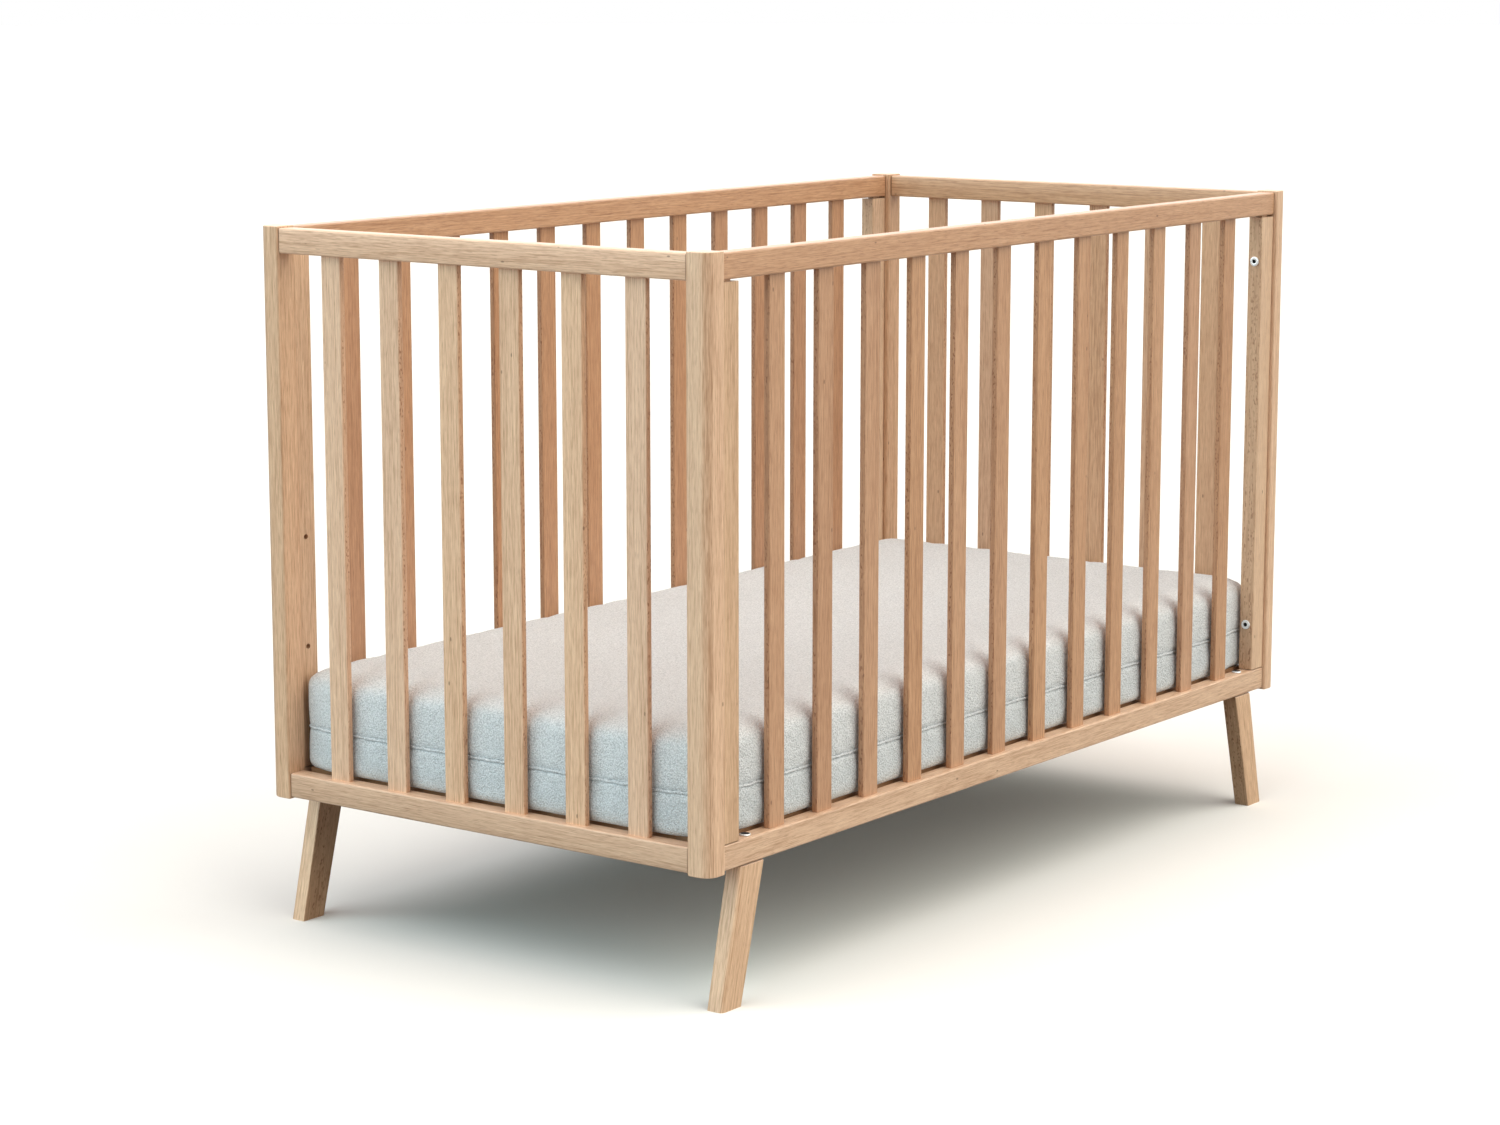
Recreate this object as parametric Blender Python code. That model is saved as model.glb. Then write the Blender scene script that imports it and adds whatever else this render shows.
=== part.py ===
"""Slatted wooden baby crib with a mattress, modelled piece by piece.

Metres, +Z up. The origin is on the floor under the middle of the crib. X runs along the
length, with the left end at -X. Y runs across the width, with the front side at -Y.

The two end panels are glued grilles between two posts. The two side panels have rails, a
stile at each end and loose-fitted slats, and are bolted to the posts through the stiles.
The bed base lies on four pins and is raised by moving the pins to higher holes.
"""

import math

import bmesh
import bpy
from mathutils import Matrix, Vector

# Overall size
LENGTH = 1.250
WIDTH = 0.640
HEIGHT = 0.8145

# Gap between touching pieces, and how far a cutter or a tenon runs past a face
GAP = 0.0003
OVERRUN = 0.005
ROOT = 0.004
SHARP_ANGLE = 40

# Posts
POST_X = 0.028
POST_Y = 0.030
POST_ROUND = 0.015
POST_STEPS = 8
POST_BOTTOM = 0.153
POST_EDGE = 0.0008

# Rails, measured in from the outer faces of the posts
RAIL_HEIGHT = 0.0285
BOTTOM_RAIL_Z = 0.155
TOP_RAIL_Z = 0.784
END_INSET = 0.002
END_RAIL_THICK = 0.022
SIDE_INSET = 0.004
SIDE_RAIL_THICK = 0.020
EDGE_ROUND = 0.002
EDGE_STEPS = 2

# Tenons of the end rails in the posts
RAIL_TENON_DEPTH = 0.010
RAIL_TENON_THICK = 0.010
RAIL_TENON_HEIGHT = 0.018

# Stiles at the ends of the side panels
STILE_INNER = 0.0585
STILE_TOP_GAP = 0.0024
STILE_BOTTOM_GAP = 0.0008
STILE_TENON_DEPTH = 0.008
STILE_TENON_X = 0.014
STILE_TENON_Y = 0.009

# Slats
SLAT_WIDTH = 0.0285
SLAT_THICK = 0.008
SLAT_ROUND = 0.0018
SLAT_TENON_DEPTH = 0.010
SLAT_TENON_STEP = 0.001
MORTISE_PLAY = 0.0005
SIDE_SLATS = 12
END_SLATS = 6
SIDE_SLAT_INSET = 0.0095
END_SLAT_INSET = 0.0085

# Legs: distances from the end of the crib at the top and at the floor
LEG_TOP_OUTER = 0.061
LEG_TOP_INNER = 0.1015
LEG_FOOT_OUTER = 0.0254
LEG_FOOT_INNER = 0.0602
LEG_INSET = 0.003
LEG_THICK = 0.0205
LEG_ROUND = 0.005
LEG_SMALL_ROUND = 0.0015
LEG_STEPS = 3
LEG_TOP_EDGE = 0.001

# Bolts: wide flat head with a hexagon socket
BOLT_SHANK_R = 0.003
BOLT_HEAD_R = 0.006
BOLT_HEAD_H = 0.0016
BOLT_HEAD_EDGE = 0.0005
BOLT_SOCKET_R = 0.0023
BOLT_SOCKET_DEPTH = 0.0022
BOLT_SIDES = 12
BOLT_HOLE_R = 0.0034
BOLT_SEAT = 0.0003

PANEL_BOLT_INSET = 0.014
PANEL_BOLT_UPPER_Z = 0.7245
PANEL_BOLT_LOWER_Z = 0.2445
PANEL_BOLT_IN_POST = 0.017
LEG_BOLT_FROM_END = 0.0815
LEG_BOLT_INSET = 0.014
LEG_BOLT_LENGTH = 0.060
LEG_HOLE_DEPTH = 0.036

# Bed base and its pins
PIN_FROM_END = 0.0425
PIN_R = 0.003
PIN_HOLE_R = 0.0033
PIN_IN_WOOD = 0.011
PIN_HOLE_DEPTH = 0.012
PIN_OUT = 0.015
PIN_SIDES = 12
BASE_HALF_X = 0.590
BASE_HALF_Y = 0.2885
BASE_TOP_Z = 0.185
BASE_THICK = 0.018
BASE_BAR = 0.040
BASE_SLAT_THICK = 0.010
BASE_SLATS = 9
BASE_SLAT_WIDTH = 0.060
BASE_EDGE = 0.0015
BASE_EDGE_STEPS = 2
MIDDLE_HOLE_Z = 0.326
UPPER_HOLE_Z = 0.4545

# Mattress: rounds seen from above and along its top and bottom edges
MATTRESS_X = 1.198
MATTRESS_Y = 0.586
MATTRESS_HEIGHT = 0.118
MATTRESS_CORNER = 0.020
MATTRESS_TOP_ROUND = 0.028
MATTRESS_BOTTOM_ROUND = 0.012
MATTRESS_STEPS = 4

LEFT_RIGHT = (("left", -1.0), ("right", 1.0))
FRONT_BACK = (("front", -1.0), ("back", 1.0))


def clear_scene():
    """Start from an empty scene."""
    for obj in list(bpy.data.objects):
        bpy.data.objects.remove(obj, do_unlink=True)


def from_end(sx, distance):
    """X of a point so far in from the end on side sx."""
    return sx * (LENGTH / 2 - distance)


def from_side(sy, distance):
    """Y of a point so far in from the long side sy."""
    return sy * (WIDTH / 2 - distance)


# ---------------------------------------------------------------- materials


def principled(name, color, roughness, metallic):
    """A plain Principled BSDF."""
    material = bpy.data.materials.new(name)
    material.use_nodes = True
    shader = material.node_tree.nodes["Principled BSDF"]
    shader.inputs["Base Color"].default_value = (*color, 1.0)
    shader.inputs["Roughness"].default_value = roughness
    shader.inputs["Metallic"].default_value = metallic
    material.diffuse_color = (*color, 1.0)
    return material


def beech(name):
    """Raw, matt beech."""
    return principled(name + "_beech", (0.62, 0.43, 0.29), 0.62, 0.0)


def zinc(name):
    """Zinc-plated steel."""
    return principled(name + "_zinc", (0.72, 0.73, 0.74), 0.32, 1.0)


def ticking(name):
    """Pale knitted mattress cover."""
    return principled(name + "_cover", (0.80, 0.82, 0.82), 0.92, 0.0)


# ---------------------------------------------------------------- shapes


def section(u0, u1, v0, v1, radii, steps):
    """Rectangle outline with its own radius at each corner, starting at (u0, v0)."""
    corners = ((u0, v0, 180), (u1, v0, 270), (u1, v1, 0), (u0, v1, 90))
    points = []
    for (u, v, start), radius, count in zip(corners, radii, steps):
        if radius <= 0:
            points.append((u, v))
            continue
        centre_u = u + radius if u == u0 else u - radius
        centre_v = v + radius if v == v0 else v - radius
        for i in range(count + 1):
            angle = math.radians(start + 90 * i / count)
            points.append((centre_u + radius * math.cos(angle), centre_v + radius * math.sin(angle)))
    return points


def even_section(u0, u1, v0, v1, radius):
    """Rectangle outline with four equal rounded corners."""
    return section(u0, u1, v0, v1, (radius,) * 4, (EDGE_STEPS,) * 4)


def outward_section(x_span, y_span, outward, other):
    """Outline with its own (radius, steps) on the corner of the crib's outside.

    Each span runs from the outer face to the inner one.
    """
    x_low, x_high = sorted(x_span)
    y_low, y_high = sorted(y_span)
    corners = ((x_low, y_low), (x_high, y_low), (x_high, y_high), (x_low, y_high))
    shapes = [outward if corner == (x_span[0], y_span[0]) else other for corner in corners]
    radii = [radius for radius, _ in shapes]
    steps = [count for _, count in shapes]
    return section(x_low, x_high, y_low, y_high, radii, steps)


def point_on(axis, u, v, along):
    """3-D point from a section point and a distance along the axis."""
    if axis == "X":
        return Vector((along, u, v))
    if axis == "Y":
        return Vector((u, along, v))
    return Vector((u, v, along))


def loft(bm, axis, outline0, outline1, lo, hi):
    """Solid between two outlines with the same number of points."""
    ring0 = [bm.verts.new(point_on(axis, u, v, lo)) for u, v in outline0]
    ring1 = [bm.verts.new(point_on(axis, u, v, hi)) for u, v in outline1]
    count = len(ring0)
    for i in range(count):
        j = (i + 1) % count
        bm.faces.new((ring0[i], ring0[j], ring1[j], ring1[i]))
    cap0 = bm.faces.new(list(reversed(ring0)))
    cap1 = bm.faces.new(ring1)
    bmesh.ops.recalc_face_normals(bm, faces=bm.faces)
    return cap0, cap1


def prism(bm, axis, outline, lo, hi):
    """Straight bar with a constant outline."""
    return loft(bm, axis, outline, outline, lo, hi)


def chamfer_cap(bm, caps, width):
    """Break the edges round the end faces of a bar."""
    edges = list({edge for cap in caps for edge in cap.edges})
    bmesh.ops.bevel(bm, geom=edges, offset=width, segments=1, profile=0.5, affect="EDGES")


def tenon_on(bm, cap, step, depth):
    """Step the end face of a bar in and pull it out into a tenon."""
    normal = cap.normal.copy()
    bmesh.ops.inset_region(bm, faces=[cap], thickness=step, use_even_offset=True)
    pulled = bmesh.ops.extrude_discrete_faces(bm, faces=[cap])["faces"][0]
    bmesh.ops.translate(bm, verts=pulled.verts, vec=normal * depth)


def box_into(bm, lo, hi):
    """Plain box between two corners."""
    size = Vector(hi) - Vector(lo)
    centre = (Vector(hi) + Vector(lo)) / 2
    matrix = Matrix.Translation(centre) @ Matrix.Diagonal((*size, 1.0))
    bmesh.ops.create_cube(bm, size=1.0, matrix=matrix)


def cylinder_into(bm, axis, centre, radius, length, sides):
    """Round bar along an axis, centred on a point."""
    turn = {"X": Matrix.Rotation(math.pi / 2, 4, "Y"), "Y": Matrix.Rotation(math.pi / 2, 4, "X")}
    matrix = Matrix.Translation(centre) @ turn.get(axis, Matrix.Identity(4))
    bmesh.ops.create_cone(
        bm,
        cap_ends=True,
        segments=sides,
        radius1=radius,
        radius2=radius,
        depth=length,
        matrix=matrix,
    )


def mesh_object(bm, name, material, centre=None):
    """Turn a bmesh in world coordinates into an object with its origin at a point."""
    if centre is None:
        lo = Vector([min(v.co[i] for v in bm.verts) for i in range(3)])
        hi = Vector([max(v.co[i] for v in bm.verts) for i in range(3)])
        centre = (lo + hi) / 2
    bmesh.ops.translate(bm, verts=bm.verts, vec=-Vector(centre))
    mesh = bpy.data.meshes.new(name)
    bm.to_mesh(mesh)
    bm.free()
    if material:
        mesh.materials.append(material)
    mesh.shade_smooth()
    mesh.set_sharp_from_angle(angle=math.radians(SHARP_ANGLE))
    obj = bpy.data.objects.new(name, mesh)
    obj.location = centre
    bpy.context.scene.collection.objects.link(obj)
    return obj


def helper(bm, name):
    """Shape that only cuts or joins another one."""
    obj = mesh_object(bm, name, None)
    obj.hide_render = True
    obj.display_type = "WIRE"
    return obj


def boolean(target, tool, operation):
    """Cut a tool out of an object, or join it on."""
    modifier = target.modifiers.new(operation.lower(), "BOOLEAN")
    modifier.operation = operation
    modifier.object = tool


def cut(target, build):
    """Cut away the shape that build puts into a bmesh."""
    bm = bmesh.new()
    build(bm)
    boolean(target, helper(bm, target.name + "_cutter"), "DIFFERENCE")


def join(target, build):
    """Join on the shape that build puts into a bmesh."""
    bm = bmesh.new()
    build(bm)
    boolean(target, helper(bm, target.name + "_joined"), "UNION")


# ---------------------------------------------------------------- end panels


def rail_tenon_box(bm, sx, sy, rail_z, play):
    """Tenon of an end rail in a post, or its mortise with play all round."""
    middle_x = from_end(sx, END_INSET + END_RAIL_THICK / 2)
    middle_z = rail_z + RAIL_HEIGHT / 2
    face = from_side(sy, POST_Y)
    tip = face + sy * (RAIL_TENON_DEPTH + play)
    root = face - sy * ROOT
    half_x = RAIL_TENON_THICK / 2 + play
    half_z = RAIL_TENON_HEIGHT / 2 + play
    box_into(
        bm,
        (middle_x - half_x, min(tip, root), middle_z - half_z),
        (middle_x + half_x, max(tip, root), middle_z + half_z),
    )


def post(name, sx, sy):
    """Corner post: large round on its outer corner, small ones on the others."""
    x_span = (from_end(sx, 0.0), from_end(sx, POST_X))
    y_span = (from_side(sy, 0.0), from_side(sy, POST_Y))
    outline = outward_section(x_span, y_span, (POST_ROUND, POST_STEPS), (EDGE_ROUND, EDGE_STEPS))
    bm = bmesh.new()
    caps = prism(bm, "Z", outline, POST_BOTTOM, HEIGHT)
    chamfer_cap(bm, caps, POST_EDGE)
    obj = mesh_object(bm, name, beech(name))

    def mortises(tool):
        for rail_z in (BOTTOM_RAIL_Z, TOP_RAIL_Z):
            rail_tenon_box(tool, sx, sy, rail_z, MORTISE_PLAY)

    def bolt_holes(tool):
        tip = from_end(sx, POST_X - PANEL_BOLT_IN_POST - MORTISE_PLAY)
        mouth = from_end(sx, POST_X + OVERRUN)
        for z in (PANEL_BOLT_UPPER_Z, PANEL_BOLT_LOWER_Z):
            centre = ((tip + mouth) / 2, from_side(sy, PANEL_BOLT_INSET), z)
            cylinder_into(tool, "X", centre, BOLT_HOLE_R, abs(mouth - tip), BOLT_SIDES)

    cut(obj, mortises)
    cut(obj, bolt_holes)
    return obj


def end_rail_into(bm, sx, rail_z):
    """Rail of an end panel, between the posts."""
    a = from_end(sx, END_INSET)
    b = from_end(sx, END_INSET + END_RAIL_THICK)
    outline = even_section(min(a, b), max(a, b), rail_z, rail_z + RAIL_HEIGHT, EDGE_ROUND)
    half = WIDTH / 2 - POST_Y - GAP
    prism(bm, "Y", outline, -half, half)


def end_slat_centres():
    """Y of the end slats, with equal gaps between the posts."""
    opening = WIDTH - 2 * POST_Y
    gap = (opening - END_SLATS * SLAT_WIDTH) / (END_SLATS + 1)
    first = -opening / 2 + gap + SLAT_WIDTH / 2
    return [first + i * (SLAT_WIDTH + gap) for i in range(END_SLATS)]


def end_slat_into(bm, sx, y):
    """Slat of an end panel, let into both rails."""
    a = from_end(sx, END_SLAT_INSET)
    b = from_end(sx, END_SLAT_INSET + SLAT_THICK)
    lo = BOTTOM_RAIL_Z + RAIL_HEIGHT - SLAT_TENON_DEPTH
    hi = TOP_RAIL_Z + SLAT_TENON_DEPTH
    outline = even_section(min(a, b), max(a, b), y - SLAT_WIDTH / 2, y + SLAT_WIDTH / 2, SLAT_ROUND)
    prism(bm, "Z", outline, lo, hi)


def end_panel(name, sx):
    """Glued grille of one end: two rails and the slats between them."""
    bm = bmesh.new()
    end_rail_into(bm, sx, BOTTOM_RAIL_Z)
    obj = mesh_object(bm, name, beech(name))
    join(obj, lambda tool: end_rail_into(tool, sx, TOP_RAIL_Z))
    for y in end_slat_centres():
        join(obj, lambda tool: end_slat_into(tool, sx, y))
    for sy in (-1.0, 1.0):
        for rail_z in (BOTTOM_RAIL_Z, TOP_RAIL_Z):
            join(obj, lambda tool: rail_tenon_box(tool, sx, sy, rail_z, 0.0))
    return obj


# ---------------------------------------------------------------- side panels


def side_slat_centres():
    """X of the side slats, with equal gaps between the stiles."""
    opening = LENGTH - 2 * STILE_INNER
    gap = (opening - SIDE_SLATS * SLAT_WIDTH) / (SIDE_SLATS + 1)
    first = -opening / 2 + gap + SLAT_WIDTH / 2
    return [first + i * (SLAT_WIDTH + gap) for i in range(SIDE_SLATS)]


def slat_mesh_into(bm):
    """Slat along Z, centred on its own origin, with a tenon at each end."""
    half = (TOP_RAIL_Z - BOTTOM_RAIL_Z - RAIL_HEIGHT) / 2 - GAP
    outline = even_section(-SLAT_WIDTH / 2, SLAT_WIDTH / 2, -SLAT_THICK / 2, SLAT_THICK / 2, SLAT_ROUND)
    caps = prism(bm, "Z", outline, -half, half)
    for cap in caps:
        tenon_on(bm, cap, SLAT_TENON_STEP, SLAT_TENON_DEPTH)


def side_slats(side, sy):
    """The slats of one long side, sharing one mesh."""
    bm = bmesh.new()
    slat_mesh_into(bm)
    y = from_side(sy, SIDE_SLAT_INSET + SLAT_THICK / 2)
    z = (TOP_RAIL_Z + BOTTOM_RAIL_Z + RAIL_HEIGHT) / 2
    first = None
    for i, x in enumerate(side_slat_centres()):
        name = f"side_slat_{side}_{i + 1:02d}"
        if first is None:
            first = mesh_object(bm, name, beech(f"side_slat_{side}"), (0.0, 0.0, 0.0))
            obj = first
        else:
            obj = bpy.data.objects.new(name, first.data)
            bpy.context.scene.collection.objects.link(obj)
        obj.location = (x, y, z)


def slat_mortises_into(bm, sy, lo, hi):
    """Pockets for the slats' tenons between two heights."""
    half_x = SLAT_WIDTH / 2 - SLAT_TENON_STEP + MORTISE_PLAY
    half_y = SLAT_THICK / 2 - SLAT_TENON_STEP + MORTISE_PLAY
    y = from_side(sy, SIDE_SLAT_INSET + SLAT_THICK / 2)
    for x in side_slat_centres():
        box_into(bm, (x - half_x, y - half_y, lo), (x + half_x, y + half_y, hi))


def stile_tenon_box(bm, sx, sy, lo, hi, play):
    """Tenon of a stile in a side rail, or its mortise with play all round."""
    x = from_end(sx, (POST_X + STILE_INNER) / 2)
    y = from_side(sy, SIDE_INSET + SIDE_RAIL_THICK / 2)
    half_x = STILE_TENON_X / 2 + play
    half_y = STILE_TENON_Y / 2 + play
    box_into(bm, (x - half_x, y - half_y, lo), (x + half_x, y + half_y, hi))


def side_rail_bar(name, sy, rail_z):
    """Side rail before its pockets and holes are cut."""
    a = from_side(sy, SIDE_INSET)
    b = from_side(sy, SIDE_INSET + SIDE_RAIL_THICK)
    outline = even_section(min(a, b), max(a, b), rail_z, rail_z + RAIL_HEIGHT, EDGE_ROUND)
    half = LENGTH / 2 - POST_X - GAP
    bm = bmesh.new()
    prism(bm, "X", outline, -half, half)
    return mesh_object(bm, name, beech(name))


def side_top_rail(name, sy):
    """Upper rail of a long side, with the slats let in from below."""
    obj = side_rail_bar(name, sy, TOP_RAIL_Z)
    top = TOP_RAIL_Z + SLAT_TENON_DEPTH + MORTISE_PLAY
    cut(obj, lambda tool: slat_mortises_into(tool, sy, TOP_RAIL_Z - OVERRUN, top))

    def stile_mortises(tool):
        for sx in (-1.0, 1.0):
            deep = TOP_RAIL_Z + STILE_TENON_DEPTH + MORTISE_PLAY
            stile_tenon_box(tool, sx, sy, TOP_RAIL_Z - OVERRUN, deep, MORTISE_PLAY)

    cut(obj, stile_mortises)
    return obj


def side_bottom_rail(name, sy):
    """Lower rail of a long side: slat pockets, leg bolt holes and base pin holes."""
    obj = side_rail_bar(name, sy, BOTTOM_RAIL_Z)
    face = BOTTOM_RAIL_Z + RAIL_HEIGHT
    floor_of_pocket = face - SLAT_TENON_DEPTH - MORTISE_PLAY
    cut(obj, lambda tool: slat_mortises_into(tool, sy, floor_of_pocket, face + OVERRUN))

    def holes(tool):
        for sx in (-1.0, 1.0):
            deep = face - STILE_TENON_DEPTH - MORTISE_PLAY
            stile_tenon_box(tool, sx, sy, deep, face + OVERRUN, MORTISE_PLAY)
            middle = face - RAIL_HEIGHT / 2
            centre = (from_end(sx, LEG_BOLT_FROM_END), from_side(sy, LEG_BOLT_INSET), middle)
            cylinder_into(tool, "Z", centre, BOLT_HOLE_R, RAIL_HEIGHT + 2 * OVERRUN, BOLT_SIDES)
            pin_hole_into(tool, sx, sy, pin_height())

    cut(obj, holes)
    return obj


def pin_height():
    """Height of the lowest pins: the base lies on top of them."""
    return BASE_TOP_Z - BASE_THICK - GAP - PIN_R


def pin_hole_into(bm, sx, sy, z):
    """Blind hole for a base pin, from the inner face of a side panel."""
    face = from_side(sy, SIDE_INSET + SIDE_RAIL_THICK)
    bottom = face + sy * PIN_HOLE_DEPTH
    mouth = face - sy * OVERRUN
    centre = (from_end(sx, PIN_FROM_END), (bottom + mouth) / 2, z)
    cylinder_into(bm, "Y", centre, PIN_HOLE_R, abs(mouth - bottom), PIN_SIDES)


def stile(name, sx, sy):
    """Upright at the end of a side panel, bolted to the post."""
    a = from_end(sx, POST_X + GAP)
    b = from_end(sx, STILE_INNER)
    c = from_side(sy, SIDE_INSET)
    d = from_side(sy, SIDE_INSET + SIDE_RAIL_THICK)
    outline = even_section(min(a, b), max(a, b), min(c, d), max(c, d), EDGE_ROUND)
    lo = BOTTOM_RAIL_Z + RAIL_HEIGHT + STILE_BOTTOM_GAP
    hi = TOP_RAIL_Z - STILE_TOP_GAP
    bm = bmesh.new()
    prism(bm, "Z", outline, lo, hi)
    obj = mesh_object(bm, name, beech(name))
    foot_tip = lo - STILE_BOTTOM_GAP - STILE_TENON_DEPTH
    head_tip = hi + STILE_TOP_GAP + STILE_TENON_DEPTH
    join(obj, lambda tool: stile_tenon_box(tool, sx, sy, foot_tip, lo + ROOT, 0.0))
    join(obj, lambda tool: stile_tenon_box(tool, sx, sy, hi - ROOT, head_tip, 0.0))

    def holes(tool):
        for z in (MIDDLE_HOLE_Z, UPPER_HOLE_Z):
            pin_hole_into(tool, sx, sy, z)
        middle_x = from_end(sx, (POST_X + STILE_INNER) / 2)
        for z in (PANEL_BOLT_UPPER_Z, PANEL_BOLT_LOWER_Z):
            centre = (middle_x, from_side(sy, PANEL_BOLT_INSET), z)
            cylinder_into(tool, "X", centre, BOLT_HOLE_R, STILE_INNER - POST_X + 2 * OVERRUN, BOLT_SIDES)

    cut(obj, holes)
    return obj


# ---------------------------------------------------------------- legs


def leg(name, sx, sy):
    """Tapered leg that leans outwards along the crib and stands flat on the floor."""
    y_span = (from_side(sy, LEG_INSET), from_side(sy, LEG_INSET + LEG_THICK))
    shapes = ((LEG_ROUND, LEG_STEPS), (LEG_SMALL_ROUND, LEG_STEPS))

    def outline(outer, inner):
        return outward_section((from_end(sx, outer), from_end(sx, inner)), y_span, *shapes)

    bm = bmesh.new()
    foot = outline(LEG_FOOT_OUTER, LEG_FOOT_INNER)
    head = outline(LEG_TOP_OUTER, LEG_TOP_INNER)
    caps = loft(bm, "Z", foot, head, 0.0, BOTTOM_RAIL_Z - GAP)
    chamfer_cap(bm, caps[1:], LEG_TOP_EDGE)
    obj = mesh_object(bm, name, beech(name))

    def hole(tool):
        depth = LEG_HOLE_DEPTH + OVERRUN
        middle = BOTTOM_RAIL_Z + OVERRUN - depth / 2
        centre = (from_end(sx, LEG_BOLT_FROM_END), from_side(sy, LEG_BOLT_INSET), middle)
        cylinder_into(tool, "Z", centre, BOLT_HOLE_R, depth, BOLT_SIDES)

    cut(obj, hole)
    return obj


# ---------------------------------------------------------------- fasteners


def ring_into(bm, radius, z, sides):
    """Circle of points at a height."""
    angles = [2 * math.pi * i / sides for i in range(sides)]
    return [bm.verts.new((radius * math.cos(a), radius * math.sin(a), z)) for a in angles]


def hexagon_into(bm, radius, z, sides):
    """Hexagon drawn with as many points as the circles have."""
    points = []
    for i in range(sides):
        angle = 2 * math.pi * i / sides
        within = (angle % (math.pi / 3)) - math.pi / 6
        reach = radius * math.cos(math.pi / 6) / math.cos(within)
        points.append(bm.verts.new((reach * math.cos(angle), reach * math.sin(angle), z)))
    return points


def bolt(name, seat, direction, length):
    """Bolt whose head sits on seat and whose shank runs along direction."""
    bm = bmesh.new()
    rings = [
        ring_into(bm, BOLT_SHANK_R, -length, BOLT_SIDES),
        ring_into(bm, BOLT_SHANK_R, 0.0, BOLT_SIDES),
        ring_into(bm, BOLT_HEAD_R, 0.0, BOLT_SIDES),
        ring_into(bm, BOLT_HEAD_R, BOLT_HEAD_H - BOLT_HEAD_EDGE, BOLT_SIDES),
        ring_into(bm, BOLT_HEAD_R - BOLT_HEAD_EDGE, BOLT_HEAD_H, BOLT_SIDES),
        hexagon_into(bm, BOLT_SOCKET_R, BOLT_HEAD_H, BOLT_SIDES),
        hexagon_into(bm, BOLT_SOCKET_R, BOLT_HEAD_H - BOLT_SOCKET_DEPTH, BOLT_SIDES),
    ]
    for lower, upper in zip(rings, rings[1:]):
        for i in range(BOLT_SIDES):
            j = (i + 1) % BOLT_SIDES
            bm.faces.new((lower[i], lower[j], upper[j], upper[i]))
    bm.faces.new(rings[0])
    bm.faces.new(rings[-1])
    bmesh.ops.recalc_face_normals(bm, faces=bm.faces)
    direction = Vector(direction)
    obj = mesh_object(bm, name, zinc(name), (0.0, 0.0, 0.0))
    obj.rotation_euler = (-direction).to_track_quat("Z", "Y").to_euler()
    obj.location = Vector(seat) - direction * BOLT_SEAT
    return obj


def panel_bolts(side, sy, end, sx):
    """Two bolts that pull a stile against its post."""
    length = STILE_INNER - POST_X + PANEL_BOLT_IN_POST
    for level, z in (("upper", PANEL_BOLT_UPPER_Z), ("lower", PANEL_BOLT_LOWER_Z)):
        seat = (from_end(sx, STILE_INNER), from_side(sy, PANEL_BOLT_INSET), z)
        bolt(f"panel_bolt_{side}_{end}_{level}", seat, (sx, 0.0, 0.0), length)


def leg_bolt(side, sy, end, sx):
    """Bolt through the lower side rail into a leg."""
    seat = (
        from_end(sx, LEG_BOLT_FROM_END),
        from_side(sy, LEG_BOLT_INSET),
        BOTTOM_RAIL_Z + RAIL_HEIGHT,
    )
    bolt(f"leg_bolt_{side}_{end}", seat, (0.0, 0.0, -1.0), LEG_BOLT_LENGTH)


def base_pin(side, sy, end, sx):
    """Pin that the bed base lies on."""
    name = f"base_pin_{side}_{end}"
    face = from_side(sy, SIDE_INSET + SIDE_RAIL_THICK)
    tip = face + sy * PIN_IN_WOOD
    outer = face - sy * PIN_OUT
    centre = (from_end(sx, PIN_FROM_END), (tip + outer) / 2, pin_height())
    bm = bmesh.new()
    cylinder_into(bm, "Y", centre, PIN_R, abs(outer - tip), PIN_SIDES)
    mesh_object(bm, name, zinc(name))


# ---------------------------------------------------------------- bed base and mattress


def bed_base():
    """Glued wooden base: a flat frame with cross slats flush with its top."""
    bm = bmesh.new()
    low = BASE_TOP_Z - BASE_THICK
    box_into(bm, (-BASE_HALF_X, -BASE_HALF_Y, low), (BASE_HALF_X, BASE_HALF_Y, BASE_TOP_Z))
    obj = mesh_object(bm, "bed_base", beech("bed_base"))
    bevel = obj.modifiers.new("edges", "BEVEL")
    bevel.width = BASE_EDGE
    bevel.segments = BASE_EDGE_STEPS
    inner_x = BASE_HALF_X - BASE_BAR
    inner_y = BASE_HALF_Y - BASE_BAR
    gap = (2 * inner_x - BASE_SLATS * BASE_SLAT_WIDTH) / (BASE_SLATS + 1)

    def windows(tool):
        for i in range(BASE_SLATS + 1):
            x = -inner_x + i * (gap + BASE_SLAT_WIDTH)
            box_into(tool, (x, -inner_y, low - OVERRUN), (x + gap, inner_y, BASE_TOP_Z + OVERRUN))

    def underside(tool):
        clear = inner_x - gap / 2
        box_into(tool, (-clear, -inner_y, low - OVERRUN), (clear, inner_y, BASE_TOP_Z - BASE_SLAT_THICK))

    cut(obj, windows)
    cut(obj, underside)
    return obj


def mattress_outline(inset):
    """Outline of the mattress, drawn in by a distance."""
    half_x = MATTRESS_X / 2 - inset
    half_y = MATTRESS_Y / 2 - inset
    radius = MATTRESS_CORNER - inset / 2
    return section(-half_x, half_x, -half_y, half_y, (radius,) * 4, (MATTRESS_STEPS,) * 4)


def mattress_levels():
    """Heights and insets of the mattress outline, from the underside to the top."""
    low = BASE_TOP_Z + GAP
    high = low + MATTRESS_HEIGHT
    quarter = [math.radians(90 * i / MATTRESS_STEPS) for i in range(MATTRESS_STEPS + 1)]
    levels = []
    for radius, edge, way in ((MATTRESS_BOTTOM_ROUND, low, 1.0), (MATTRESS_TOP_ROUND, high, -1.0)):
        rounds = [(edge + way * radius * (1 - math.sin(a)), radius * (1 - math.cos(a))) for a in quarter]
        levels.append(rounds)
    return list(reversed(levels[0])) + levels[1]


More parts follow.
